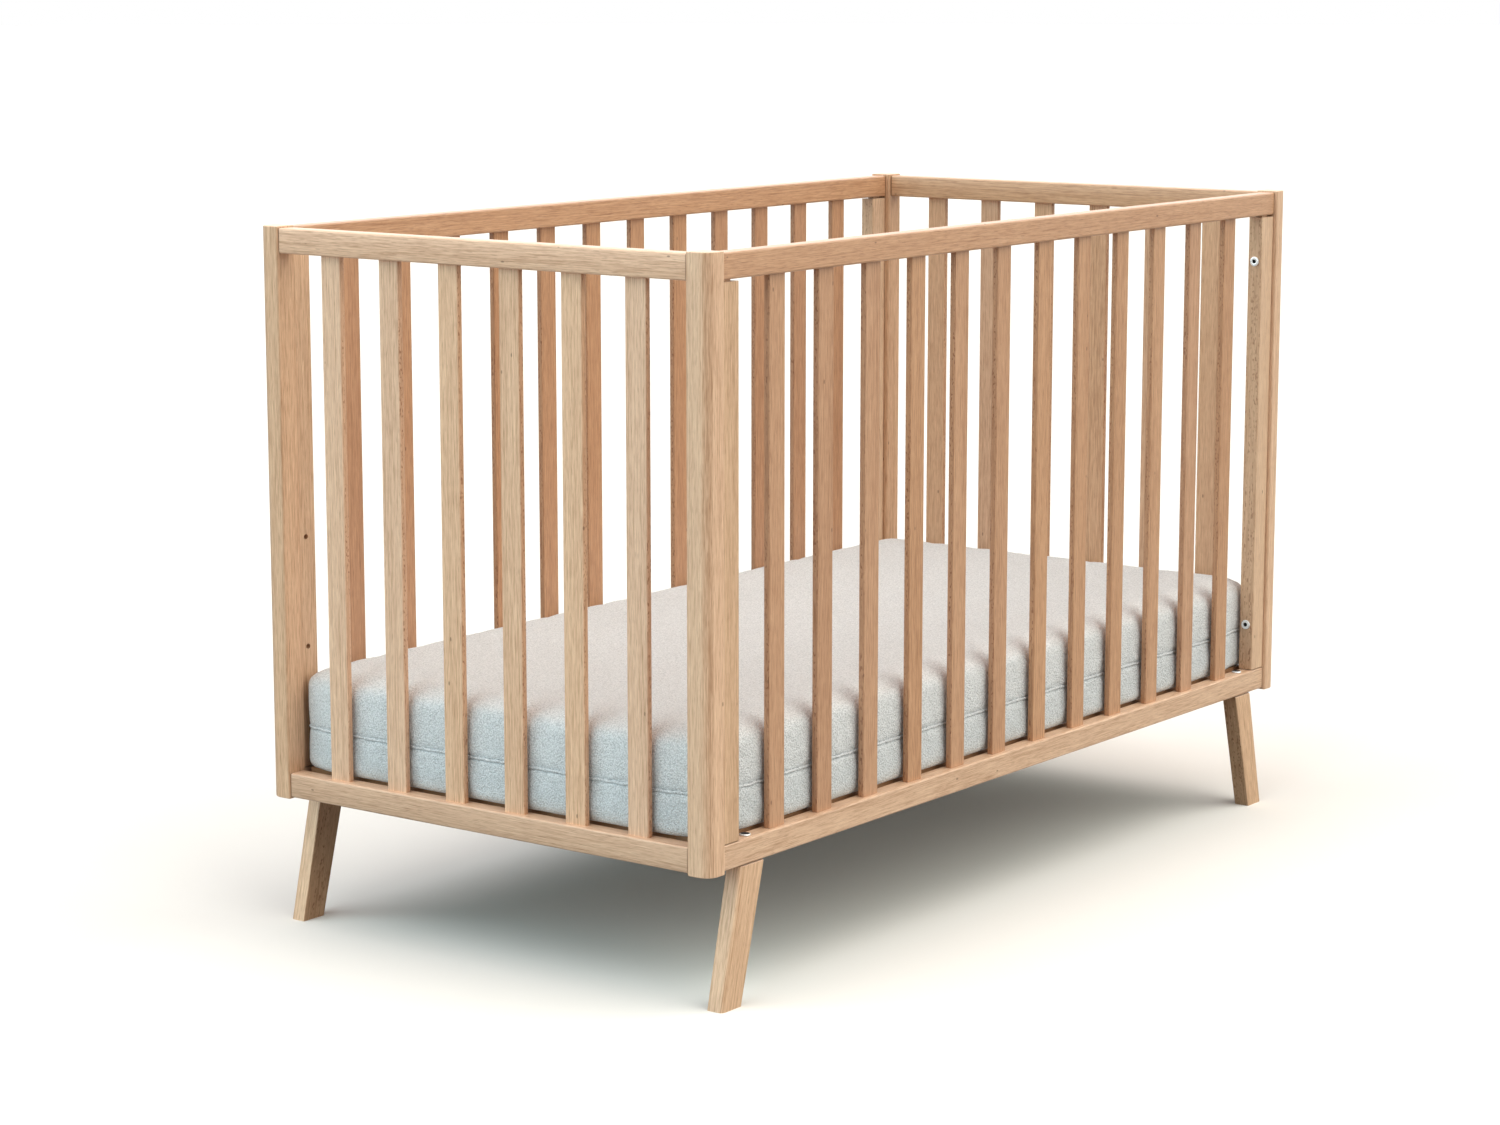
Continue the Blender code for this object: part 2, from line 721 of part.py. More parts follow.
def mattress():
    """Plain block of the mattress with round corners and edges."""
    bm = bmesh.new()
    rings = []
    for z, inset in mattress_levels():
        rings.append([bm.verts.new((x, y, z)) for x, y in mattress_outline(inset)])
    count = len(rings[0])
    for lower, upper in zip(rings, rings[1:]):
        for i in range(count):
            j = (i + 1) % count
            bm.faces.new((lower[i], lower[j], upper[j], upper[i]))
    bm.faces.new(rings[0])
    bm.faces.new(rings[-1])
    bmesh.ops.recalc_face_normals(bm, faces=bm.faces)
    return mesh_object(bm, "mattress", ticking("mattress"))


def crib():
    """All the pieces of the crib."""
    for end, sx in LEFT_RIGHT:
        end_panel(f"end_panel_{end}", sx)
    for side, sy in FRONT_BACK:
        side_top_rail(f"side_top_rail_{side}", sy)
        side_bottom_rail(f"side_bottom_rail_{side}", sy)
        side_slats(side, sy)
        for end, sx in LEFT_RIGHT:
            post(f"post_{side}_{end}", sx, sy)
            stile(f"stile_{side}_{end}", sx, sy)
            leg(f"leg_{side}_{end}", sx, sy)
            panel_bolts(side, sy, end, sx)
            leg_bolt(side, sy, end, sx)
            base_pin(side, sy, end, sx)
    bed_base()
    mattress()


clear_scene()
crib()
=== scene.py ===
"""Looks of the slatted beech crib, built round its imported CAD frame. Metres, +Z up."""

import math
import random

import bmesh
import bpy
import numpy as np
from mathutils import Matrix, Vector
from mathutils.bvhtree import BVHTree


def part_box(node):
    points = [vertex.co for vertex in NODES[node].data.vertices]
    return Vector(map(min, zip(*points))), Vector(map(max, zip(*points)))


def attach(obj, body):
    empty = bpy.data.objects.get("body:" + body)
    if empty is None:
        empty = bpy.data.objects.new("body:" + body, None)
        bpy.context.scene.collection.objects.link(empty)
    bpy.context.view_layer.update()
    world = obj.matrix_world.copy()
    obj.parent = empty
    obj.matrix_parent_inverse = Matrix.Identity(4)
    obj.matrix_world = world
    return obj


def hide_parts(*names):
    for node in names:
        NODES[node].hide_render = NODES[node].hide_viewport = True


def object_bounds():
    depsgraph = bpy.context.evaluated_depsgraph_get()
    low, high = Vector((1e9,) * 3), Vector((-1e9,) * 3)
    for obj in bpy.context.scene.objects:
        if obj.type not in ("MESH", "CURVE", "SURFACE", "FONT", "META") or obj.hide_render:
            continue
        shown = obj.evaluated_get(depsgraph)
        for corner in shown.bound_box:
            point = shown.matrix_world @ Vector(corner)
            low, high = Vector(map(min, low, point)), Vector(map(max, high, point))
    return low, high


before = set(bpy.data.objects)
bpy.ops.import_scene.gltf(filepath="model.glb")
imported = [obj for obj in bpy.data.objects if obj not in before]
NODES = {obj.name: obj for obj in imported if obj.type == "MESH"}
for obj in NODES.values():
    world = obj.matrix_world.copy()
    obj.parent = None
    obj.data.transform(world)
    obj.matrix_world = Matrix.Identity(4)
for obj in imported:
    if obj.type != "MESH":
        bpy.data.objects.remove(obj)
CAD_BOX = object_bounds()

MM = 0.001
SEED = 11
FULL_TURN = 2.0 * math.pi

# Camera
CAMERA_PLACE = (-3.4715, -2.4841, 1.1067)
CAMERA_HEADING = 0.63811
CAMERA_DOWN = 0.16992
CAMERA_LENS = 83.86
CAMERA_SENSOR = 36.0
CAMERA_FAR = 200.0

# Broad suns: name, direction towards it, width in degrees, colour times strength
SUNS = (
    ("top", (-0.10, 0.10, 0.98), 84, (0.560, 0.450, 0.430)),
    ("left", (-0.80, 0.33, 0.50), 74, (0.500, 0.662, 0.680)),
    ("front", (0.22, -0.72, 0.65), 78, (0.855, 0.855, 0.770)),
)

# Surroundings: what lights matt surfaces, what gloss mirrors, what the camera sees
SKY = ((0.93, 0.97, 1.0, 1.0), 0.10)
SKY_MIRRORED = ((1.0, 0.99, 0.97, 1.0), 1.8)
SKY_SEEN = ((1.0, 1.0, 1.0, 1.0), 1.0)
FLOOR_RADIUS = 60.0
FLOOR_SEEN = (0.86, 0.86, 0.84, 1.0)
FLOOR_BOUNCED = (0.30, 0.30, 0.30, 1.0)


# ---------------------------------------------------------------- node helpers


class Graph:
    """Short way to write a node tree."""

    def __init__(self, tree):
        self.tree = tree

    def add(self, kind, inputs=None, **settings):
        """New node, with its settings and then its inputs."""
        node = self.tree.nodes.new(kind)
        for key, value in settings.items():
            setattr(node, key, value)
        for key, value in (inputs or {}).items():
            self.feed(node.inputs[key], value)
        return node

    def feed(self, socket, value):
        """Link another socket to this one, or set its value."""
        if isinstance(value, bpy.types.NodeSocket):
            self.tree.links.new(value, socket)
        else:
            socket.default_value = value

    def math(self, operation, a, b=None, c=None):
        """Result of a maths node on up to three values."""
        node = self.add("ShaderNodeMath", operation=operation)
        for socket, value in zip(node.inputs, (a, b, c)):
            if value is not None:
                self.feed(socket, value)
        return node.outputs[0]

    def vector(self, operation, a, b=None):
        """Result of a vector maths node."""
        node = self.add("ShaderNodeVectorMath", operation=operation)
        self.feed(node.inputs[0], a)
        if b is not None:
            self.feed(node.inputs[1], b)
        return node.outputs["Value" if operation in ("LENGTH", "DOT_PRODUCT") else "Vector"]

    def span(self, value, lo, hi, out_lo=0.0, out_hi=1.0, smooth=False):
        """Value from lo..hi laid over out_lo..out_hi, and held at both ends."""
        node = self.add(
            "ShaderNodeMapRange",
            {"Value": value, "From Min": lo, "From Max": hi, "To Min": out_lo, "To Max": out_hi},
            interpolation_type="SMOOTHSTEP" if smooth else "LINEAR",
        )
        return node.outputs["Result"]

    def noise(self, vector, scale, detail=2.0, roughness=0.5):
        """Cloudy noise between 0 and 1, with its mean at 0.5."""
        node = self.add(
            "ShaderNodeTexNoise",
            {"Vector": vector, "Scale": scale, "Detail": detail, "Roughness": roughness},
        )
        return node.outputs["Fac"]

    def swing(self, value, strength, level):
        """Level, raised or lowered as a noise is over or under its mean."""
        return self.math("MULTIPLY_ADD", self.math("SUBTRACT", value, 0.5), strength, level)

    def mix(self, factor, a, b, blend="MIX"):
        """Mix of two colours. A mix node has its colours on sockets 6 and 7, its result on 2."""
        node = self.add("ShaderNodeMix", data_type="RGBA", blend_type=blend)
        for place, value in ((0, factor), (6, a), (7, b)):
            self.feed(node.inputs[place], value)
        return node.outputs[2]

    def axes(self, vector):
        """The X, Y and Z of a vector."""
        return self.add("ShaderNodeSeparateXYZ", {"Vector": vector}).outputs

    def bump(self, shader, height, strength, distance):
        """Small relief on a shader."""
        node = self.add("ShaderNodeBump", {"Height": height, "Strength": strength, "Distance": distance})
        self.feed(shader.inputs["Normal"], node.outputs["Normal"])


def new_group(name, inputs, outputs):
    """Empty node group with the given sockets, and its graph, source and sink."""
    tree = bpy.data.node_groups.new(name, "ShaderNodeTree")
    for label, kind, value in inputs:
        socket = tree.interface.new_socket(label, in_out="INPUT", socket_type=kind)
        if value is not None:
            socket.default_value = value
    for label, kind in outputs:
        tree.interface.new_socket(label, in_out="OUTPUT", socket_type=kind)
    graph = Graph(tree)
    source = graph.add("NodeGroupInput")
    sink = graph.add("NodeGroupOutput")
    return tree, graph, source.outputs, sink.inputs


def new_material(name):
    """Material with its graph and its Principled BSDF."""
    material = bpy.data.materials.new(name)
    material.use_nodes = True
    graph = Graph(material.node_tree)
    shader = material.node_tree.nodes["Principled BSDF"]
    return material, graph, shader


def dress(obj, material):
    """Give an object one material."""
    obj.data.materials.clear()
    obj.data.materials.append(material)
    for polygon in obj.data.polygons:
        polygon.material_index = 0


# ---------------------------------------------------------------- beech

RING_WIDTH = 4.2 * MM
RING_WANDER = 9.0

# Fibres: waves per metre along and across the grain, octaves, roughness, strength in the tone
FIBRES = {
    "broad": (1.0, 38.0, 1.0, 0.5, 0.42),
    "medium": (8.0, 560.0, 2.0, 0.6, 0.62),
    "fine": (30.0, 950.0, 2.0, 0.65, 1.40),
    "dashes": (58.0, 520.0, 1.0, 0.6, 0.50),
}
MEAN_TONE = 0.53
LATE_WOOD_TONE = -0.30
PIECE_TONE = 0.20

WOOD_STOPS = (
    (0.0, (0.420, 0.248, 0.140, 1.0)),
    (0.5, (0.655, 0.450, 0.300, 1.0)),
    (1.0, (0.815, 0.608, 0.418, 1.0)),
)
# End grain, its colours lightened as a painted sheen for the lit tops of the posts and stiles
END_GRAIN_SHEEN_STOPS = (
    (0.0, (0.48, 0.32, 0.20, 1.0)),
    (1.0, (0.80, 0.62, 0.46, 1.0)),
)
FLECK_FACE_SHADE = (0.80, 0.72, 0.66, 1.0)
PORE_BROWN = (0.27, 0.125, 0.060, 1.0)
KNOT_BROWN = (0.16, 0.085, 0.045, 1.0)
JOINT_SHADE_BROWN = (0.13, 0.065, 0.035, 1.0)

# Where a piece was cut from its log: metres along it, and from the pith
LOG_SHIFT = 4.0
PITH_NEAR = 0.040
PITH_FAR = 0.12
RAY_ANGLE = 0.35

GRAIN_TURN = {
    "X": (0.0, 0.0, 0.0),
    "Y": (0.0, 0.0, -math.pi / 2),
    "Z": (0.0, math.pi / 2, 0.0),
}

# Colour of each kind of stock, with painted light and shade in it: pieces seen in shade (the back, the
# right-hand end, the base) are darker and warmer, and pieces in the light (the left end's top rail and
# slats, the posts, the legs, the lower side rails) are lighter.
PAINTED_LIGHT_TINT = {
    "post": (1.10, 1.035, 1.015),
    "leg": (1.12, 1.07, 1.02),
    "end_top": (1.18, 1.09, 1.07),
    "end_bottom": (1.00, 0.93, 0.92),
    "end_slat": (1.20, 1.13, 1.11),
    "far_top": (0.87, 0.75, 0.68),
    "far_bottom": (0.86, 0.75, 0.69),
    "far_slat": (0.90, 0.78, 0.72),
    "side": (0.855, 0.70, 0.61),
    "back_slat": (0.79, 0.61, 0.50),
    "back_post": (0.98, 0.87, 0.80),
    "side_low": (1.07, 1.03, 1.01),
    "stile": (1.03, 1.00, 0.99),
    "base": (0.66, 0.50, 0.39),
}


def ramp(g, level, stops):
    """Colour ramp through the given stops."""
    node = g.add("ShaderNodeValToRGB", {"Fac": level})
    elements = node.color_ramp.elements
    elements[0].position, elements[0].color = stops[0]
    elements[1].position, elements[1].color = stops[-1]
    for place, color in stops[1:-1]:
        elements.new(place).color = color
    return node.outputs["Color"]


def beech_group():
    """Raw beech: growth rings, fibre streaks, pores, ray flecks, pin knots and end grain.

    The vector is in metres with the grain along X and the pith on the X axis.
    """
    tree, g, source, sink = new_group(
        "beech_grain",
        (
            ("Vector", "NodeSocketVector", None),
            ("End", "NodeSocketFloat", 0.0),
            ("FleckShade", "NodeSocketFloat", 0.0),
            ("Tone", "NodeSocketFloat", 0.0),
            ("Tint", "NodeSocketColor", (1.0, 1.0, 1.0, 1.0)),
        ),
        (("Color", "NodeSocketColor"), ("Roughness", "NodeSocketFloat"), ("Height", "NodeSocketFloat")),
    )
    vector = source["Vector"]
    radius = g.vector("LENGTH", g.vector("MULTIPLY", vector, (0.0, 1.0, 1.0)))

    def stretched(length, across):
        """The vector scaled to waves per metre along and across the grain."""
        return g.vector("MULTIPLY", vector, (length, across, across))

    # growth rings, bent a little along the length, some stronger than others
    wander = g.noise(stretched(1.3, 11.0), 1.0, 2.0)
    turns = g.math("MULTIPLY_ADD", radius, 1.0 / RING_WIDTH, g.math("MULTIPLY", wander, RING_WANDER))
    ring = g.math("FRACT", turns)
    late = g.math("MULTIPLY", g.math("POWER", ring, 4.0), g.span(ring, 0.92, 1.0, 1.0, 0.0))
    late = g.math("MULTIPLY", late, g.span(g.noise(stretched(2.0, 70.0), 1.0, 1.0), 0.35, 0.62, 0.25, 1.0))

    # fibres, coarse to fine, and the open pores between them
    fibres = {}
    level = MEAN_TONE
    for label, (length, across, octaves, roughness, strength) in FIBRES.items():
        fibres[label] = g.noise(stretched(length, across), 1.0, octaves, roughness)
        level = g.swing(fibres[label], strength, level)
    pores = g.span(g.noise(stretched(85.0, 1500.0), 1.0, 0.0), 0.63, 0.76)
    level = g.math("MULTIPLY_ADD", late, LATE_WOOD_TONE, level)
    level = g.math("ADD", level, g.math("MULTIPLY", source["Tone"], PIECE_TONE))

    # rays, seen as dark dots in rows where the saw crossed them
    rows = g.span(g.noise(stretched(9.0, 300.0), 1.0, 1.0), 0.44, 0.60)
    dots = g.span(g.noise(stretched(250.0, 560.0), 1.0, 0.0), 0.58, 0.66)
    flecks = g.math("MULTIPLY", g.math("MULTIPLY", dots, g.span(rows, 0.0, 1.0, 0.12, 1.0)), source["FleckShade"])

    # pin knots
    cells = g.add("ShaderNodeTexVoronoi", {"Vector": stretched(19.0, 46.0), "Scale": 1.0})
    knots = g.span(cells.outputs["Distance"], 0.030, 0.062, 1.0, 0.0, smooth=True)

    wood = ramp(g, level, WOOD_STOPS)
    # painted shade: the faces given flecks, narrow and inward faces that the lights miss, are darkened and
    # warmed
    color = g.mix(source["FleckShade"], wood, g.mix(1.0, wood, FLECK_FACE_SHADE, "MULTIPLY"))
    marks = ((flecks, 0.95, PORE_BROWN), (pores, 0.34, PORE_BROWN), (knots, 0.72, KNOT_BROWN))
    for mark, strength, brown in marks:
        color = g.mix(g.math("MULTIPLY", mark, strength), color, brown)

    # cut ends: no streaks, only rings and pores, in end-grain colours lightened as a painted sheen
    speck = g.noise(g.vector("MULTIPLY", vector, (0.0, 1300.0, 1300.0)), 1.0, 1.0)
    end_level = g.math("MULTIPLY_ADD", late, -0.45, g.span(speck, 0.3, 0.7, 0.35, 0.75))
    color = g.mix(source["End"], color, ramp(g, end_level, END_GRAIN_SHEEN_STOPS))
    color = g.mix(1.0, color, source["Tint"], "MULTIPLY")

    height = g.math("MULTIPLY_ADD", fibres["fine"], 0.7, g.math("MULTIPLY", fibres["medium"], 0.5))
    height = g.math("MULTIPLY_ADD", flecks, -0.4, height)
    height = g.math("MULTIPLY_ADD", pores, -0.5, height)
    g.feed(sink["Color"], color)
    g.feed(sink["Roughness"], g.math("MULTIPLY_ADD", fibres["fine"], 0.14, 0.26))
    g.feed(sink["Height"], height)
    return tree


BEECH = beech_group()


def beech(name, centre, turn, chance, kind, flecks=None, seams=()):
    """Beech for one piece: its own part of the log, with the grain where turn says.

    flecks is the direction of the faces that cross the rays, where they show; these faces also get painted
    shade.
    seams lists the axis and place of each joint line, which gets a painted shade line.
    """
    material, g, shader = new_material(name + "_beech")
    rotation = Matrix.Identity(3)
    for amount, axis in zip(turn, "XYZ"):
        rotation = Matrix.Rotation(amount, 3, axis) @ rotation
    at = rotation @ Vector(centre)
    angle = chance.uniform(0.0, FULL_TURN)
    reach = chance.uniform(PITH_NEAR, PITH_FAR)
    if flecks is not None:
        toward = rotation @ Vector(flecks)
        angle = math.atan2(toward.z, toward.y) + chance.uniform(-RAY_ANGLE, RAY_ANGLE)
        angle += chance.choice((0.0, math.pi))
    along = chance.uniform(-LOG_SHIFT, LOG_SHIFT)
    shift = (along, reach * math.cos(angle) - at.y, reach * math.sin(angle) - at.z)
    coords = g.add("ShaderNodeTexCoord").outputs
    mapping = g.add("ShaderNodeMapping", {"Vector": coords["Object"], "Rotation": turn, "Location": shift})
    wood = g.add("ShaderNodeGroup", node_tree=BEECH)
    g.feed(wood.inputs["Vector"], mapping.outputs["Vector"])

    def facing(direction):
        """How squarely the surface looks along a direction."""
        return g.math("ABSOLUTE", g.vector("DOT_PRODUCT", coords["Normal"], direction))

    grain = rotation.transposed() @ Vector((1.0, 0.0, 0.0))
    g.feed(wood.inputs["End"], g.span(facing(tuple(grain)), 0.75, 0.92, smooth=True))
    fleck_shade = 0.05
    if flecks is not None:
        fleck_shade = g.span(facing(flecks), 0.55, 0.95, 0.06, chance.uniform(0.65, 1.0), smooth=True)
    g.feed(wood.inputs["FleckShade"], fleck_shade)
    tone = chance.uniform(-0.40, 0.40)
    wood.inputs["Tone"].default_value = tone
    if kind == "post":
        # painted shade: the planed round of the corner is darkened, where neither the light from the left
        # nor the light from the front falls full on it
        split = g.axes(coords["Normal"])
        corner = g.math("ABSOLUTE", g.math("MULTIPLY", split["X"], split["Y"]))
        g.feed(wood.inputs["Tone"], g.span(corner, 0.22, 0.50, tone, tone - 1.5, smooth=True))
    # painted light and shade of the piece's kind, with a small random warmth
    red, green, blue = PAINTED_LIGHT_TINT[kind]
    warm = chance.uniform(-0.03, 0.03)
    wood.inputs["Tint"].default_value = (red * (1.0 + warm * 0.5), green, blue * (1.0 - warm * 1.5), 1.0)
    color = wood.outputs["Color"]
    places = g.axes(coords["Object"])
    # painted shade: a dark line along each joint, where the narrow gap between the parts lies in shade
    for axis, place in seams:
        away = g.math("ABSOLUTE", g.math("SUBTRACT", places[axis], place))
        line = g.span(away, 0.5 * MM, 1.7 * MM, 0.72, 0.0, smooth=True)
        color = g.mix(line, color, JOINT_SHADE_BROWN)
    g.feed(shader.inputs["Base Color"], color)
    g.feed(shader.inputs["Roughness"], wood.outputs["Roughness"])
    g.bump(shader, wood.outputs["Height"], 0.35, 0.4 * MM)
    shader.inputs["Specular IOR Level"].default_value = 0.50
    return material


# ---------------------------------------------------------------- mesh helpers


def rounded_outline(u0, u1, v0, v1, radius, steps=4):
    """Rectangle outline with rounded corners."""
    points = []
    for u, v, start in ((u0, v0, 180), (u1, v0, 270), (u1, v1, 0), (u0, v1, 90)):
        centre_u = u + radius if u == u0 else u - radius
        centre_v = v + radius if v == v0 else v - radius
        for i in range(steps + 1):
            angle = math.radians(start + 90 * i / steps)
            points.append((centre_u + radius * math.cos(angle), centre_v + radius * math.sin(angle)))
    return points


def on_axis(axis, u, v, along):
    """Point from an outline point and a place along the axis."""
    return {"X": (along, u, v), "Y": (u, along, v), "Z": (u, v, along)}[axis]


def finish_mesh(bm, name, sharp=35):
    """New object from a bmesh, smooth but for its sharp edges."""
    bmesh.ops.recalc_face_normals(bm, faces=bm.faces)
    mesh = bpy.data.meshes.new(name)
    bm.to_mesh(mesh)
    bm.free()
    mesh.shade_smooth()
    mesh.set_sharp_from_angle(angle=math.radians(sharp))
    obj = bpy.data.objects.new(name, mesh)
    bpy.context.scene.collection.objects.link(obj)
    return obj


def skin(bm, rings, capped=True):
    """Faces between each ring and the next, and over the first and last if they are capped."""
    for lower, upper in zip(rings, rings[1:]):
        for i in range(len(lower)):
            j = (i + 1) % len(lower)
            bm.faces.new((lower[i], lower[j], upper[j], upper[i]))
    if capped:
        bm.faces.new(rings[0])
        bm.faces.new(rings[-1])


def board(name, lo, hi, axis, radius):
    """Bar with rounded long edges and broken end edges."""
    chamfer = 0.6 * MM
    least_radius = 0.3 * MM
    across = [i for i in range(3) if "XYZ"[i] != axis]
    along = "XYZ".index(axis)
    u0, u1, v0, v1 = lo[across[0]], hi[across[0]], lo[across[1]], hi[across[1]]
    bm = bmesh.new()
    rings = []
    for place, inset in (
        (lo[along], chamfer),
        (lo[along] + chamfer, 0.0),
        (hi[along] - chamfer, 0.0),
        (hi[along], chamfer),
    ):
        round_off = max(radius - inset, least_radius)
        outline = rounded_outline(u0 + inset, u1 - inset, v0 + inset, v1 - inset, round_off)
        rings.append([bm.verts.new(on_axis(axis, u, v, place)) for u, v in outline])
    skin(bm, rings)
    return finish_mesh(bm, name)


def middle(lo, hi):
    """Centre of a box."""
    return tuple((a + b) / 2 for a, b in zip(lo, hi))


# ---------------------------------------------------------------- wood

SLAT_ROUND = 1.9 * MM
RAIL_ROUND = 2.2 * MM
JOINT_GAP = 0.3 * MM

LEG_SPLAY = 0.038
LEG_DROP = 0.1547

END_RAIL_HEIGHT = 28.5 * MM
END_RAIL_BOTTOMS = (("bottom", 155.0 * MM), ("top", 784.0 * MM))
END_SLATS = 6
END_SLAT_WIDTH = 28.5 * MM
END_SLAT_TENON = 8 * MM
END_SLAT_FACES = (8.5 * MM, 16.5 * MM)

BASE_BAR = 40 * MM
BASE_ROUND = 1.6 * MM
BASE_GAP = 0.2 * MM
BASE_SLATS = 9
BASE_SLAT_WIDTH = 60 * MM
BASE_SLAT_THICKNESS = 10 * MM


def node_seed(name):
    """Steady random numbers of a piece, from its name."""
    return random.Random(f"{SEED}:{name}")


def cut_of(name, centre):
    """How a piece of the frame is cut: grain turn, kind of stock with its painted light and shade, faces
    that show rays and get painted shade, and joint lines with painted shade.
    """
    inner_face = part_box("post_front_right")[0][0]
    under, over = (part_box("side_bottom_rail_front")[i][2] for i in (0, 1))
    ends = (("X", -inner_face), ("X", inner_face))
    upright = GRAIN_TURN["Z"]
    at_front = centre[1] < 0
    at_left = centre[0] < 0
    if name.startswith("side_slat_"):
        return upright, "side" if at_front else "back_slat", (1.0, 0.0, 0.0), ()
    if name.startswith("post_"):
        return upright, "post" if at_front or at_left else "back_post", None, ()
    if name.startswith("stile_"):
        return upright, "stile", (1.0, 0.0, 0.0), (("Z", over),)
    if name.startswith("side_top_rail"):
        return GRAIN_TURN["X"], "side", None, ends
    if name.startswith("side_bottom_rail"):
        return GRAIN_TURN["X"], "side_low", None, ends
    if name.startswith("leg_") and "bolt" not in name:
        lean = math.atan2(LEG_SPLAY, LEG_DROP)
        turn = (0.0, math.pi / 2 + (-1.0 if at_left else 1.0) * lean, 0.0)
        # the faces of the legs that look in under the crib get the flecks and their painted shade
        faces = None
        if not at_front:
            faces = (0.0, 1.0, 0.0)
        elif not at_left:
            faces = (1.0, 0.0, 0.0)
        return turn, "leg", faces, (("Z", under),)
    return None


def dress_frame():
    """Beech on the posts, side rails, stiles, side slats and legs."""
    for name, obj in NODES.items():
        centre = middle(*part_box(name))
        cut = cut_of(name, centre)
        if cut is not None:
            turn, kind, faces, seams = cut
            dress(obj, beech(name, centre, turn, node_seed(name), kind, faces, seams))


def wooden_bar(name, lo, hi, axis, radius, kind, faces=None, seams=()):
    """Board of beech with its grain along it."""
    piece = board(name, lo, hi, axis, radius)
    dress(piece, beech(name, middle(lo, hi), GRAIN_TURN[axis], node_seed(name), kind, faces, seams))
    return piece


def end_panel(end, outward):
    """Rails and slats of an end panel, in place of the frame's fused grille."""
    node = f"end_panel_{end}"
    lo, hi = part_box(node)
    half = abs(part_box(f"post_front_{end}")[1][1]) - JOINT_GAP
    stock = "end" if outward < 0 else "far"
    pieces = []
    for label, bottom in END_RAIL_BOTTOMS:
        a = (lo[0], -half, bottom)
        b = (hi[0], half, bottom + END_RAIL_HEIGHT)
        ends = (("Y", -half), ("Y", half))
        name = f"end_rail_{label}_{end}"
        pieces.append(wooden_bar(name, a, b, "Y", RAIL_ROUND, f"{stock}_{label}", None, ends))
    width = END_SLAT_WIDTH
    opening = 2 * (half + JOINT_GAP)
    gap = (opening - END_SLATS * width) / (END_SLATS + 1)
    x0, x1 = sorted(outward * (CAD_BOX[1][0] - depth) for depth in END_SLAT_FACES)
    foot = END_RAIL_BOTTOMS[0][1] + END_RAIL_HEIGHT - END_SLAT_TENON
    head = END_RAIL_BOTTOMS[1][1] + END_SLAT_TENON
    for i in range(END_SLATS):
        y = -opening / 2 + gap + i * (width + gap)
        name = f"end_slat_{end}_{i + 1}"
        a, b = (x0, y, foot), (x1, y + width, head)
        pieces.append(wooden_bar(name, a, b, "Z", SLAT_ROUND, f"{stock}_slat", (0.0, 1.0, 0.0)))
    for piece in pieces:
        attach(piece, "frame")
        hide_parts(node)


def bed_base():
    """Frame bars and cross slats of the bed base, in place of its fused solid."""
    lo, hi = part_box("bed_base")
    bar = BASE_BAR
    front = lo[1] + bar + BASE_GAP
    back = hi[1] - bar - BASE_GAP
    parts = [
        ("base_bar_front", (lo[0], lo[1], lo[2]), (hi[0], lo[1] + bar, hi[2]), "X"),
        ("base_bar_back", (lo[0], hi[1] - bar, lo[2]), (hi[0], hi[1], hi[2]), "X"),
        ("base_bar_left", (lo[0], front, lo[2]), (lo[0] + bar, back, hi[2]), "Y"),
        ("base_bar_right", (hi[0] - bar, front, lo[2]), (hi[0], back, hi[2]), "Y"),
    ]
    width = BASE_SLAT_WIDTH
    inner = hi[0] - bar
    gap = (2 * inner - BASE_SLATS * width) / (BASE_SLATS + 1)
    for i in range(BASE_SLATS):
        x = -inner + gap + i * (width + gap)
        a = (x, front, hi[2] - BASE_SLAT_THICKNESS)
        b = (x + width, back, hi[2])
        parts.append((f"base_slat_{i + 1}", a, b, "Y"))
    for name, a, b, axis in parts:
        piece = wooden_bar(name, a, b, axis, BASE_ROUND, "base")
        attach(piece, "bed_base")
        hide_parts("bed_base")


# ---------------------------------------------------------------- metal

BOLT_HEAD = 1.6 * MM
BOLT_SIDES = 48
BOLT_BANDS = 11
PIN_SIDES = 32
PIN_FILL = 0.998

# Outline of shank and head over the seat: radius and height in millimetres
BOLT_OUTLINE = ((3.0, 0.0), (5.9, 0.0), (6.2, 0.25), (6.2, 1.05), (6.0, 1.45), (5.4, 1.65))

# Socket: radius, height of its floor over the seat, and the first band of faces that is painted dark as the
# socket's shade
PANEL_SOCKET = (2.5 * MM, -1.5 * MM, 9)
LEG_SOCKET = (4.6 * MM, 0.2 * MM, 8)


def zinc_material():
    """Bright zinc plate with a cloudy, finely brushed surface."""
    material, g, shader = new_material("zinc_plate")
    coords = g.add("ShaderNodeTexCoord").outputs["Object"]
    cloud = g.noise(coords, 420.0, 3.0)
    grit = g.noise(coords, 5200.0, 1.0)
    color = g.mix(g.span(cloud, 0.35, 0.65), (0.74, 0.76, 0.77, 1.0), (0.90, 0.91, 0.92, 1.0))
    g.feed(shader.inputs["Base Color"], color)
    g.feed(shader.inputs["Roughness"], g.span(cloud, 0.3, 0.7, 0.24, 0.40))
    shader.inputs["Metallic"].default_value = 0.45
    g.bump(shader, grit, 0.12, 0.1 * MM)
    return material


def socket_material():
    """Near-black inside of the bolts' hexagon sockets, with a faint mottle: painted shade of a deep recess.
    """
    material, g, shader = new_material("socket_shadow")
    coords = g.add("ShaderNodeTexCoord").outputs["Object"]
    socket_mottle = g.noise(coords, 1800.0, 2.0)
    g.feed(shader.inputs["Base Color"], g.mix(socket_mottle, (0.02, 0.02, 0.022, 1.0), (0.08, 0.08, 0.085, 1.0)))
    g.feed(shader.inputs["Roughness"], g.span(socket_mottle, 0.3, 0.7, 0.7, 0.9))
    shader.inputs["Specular IOR Level"].default_value = 0.05
    return material


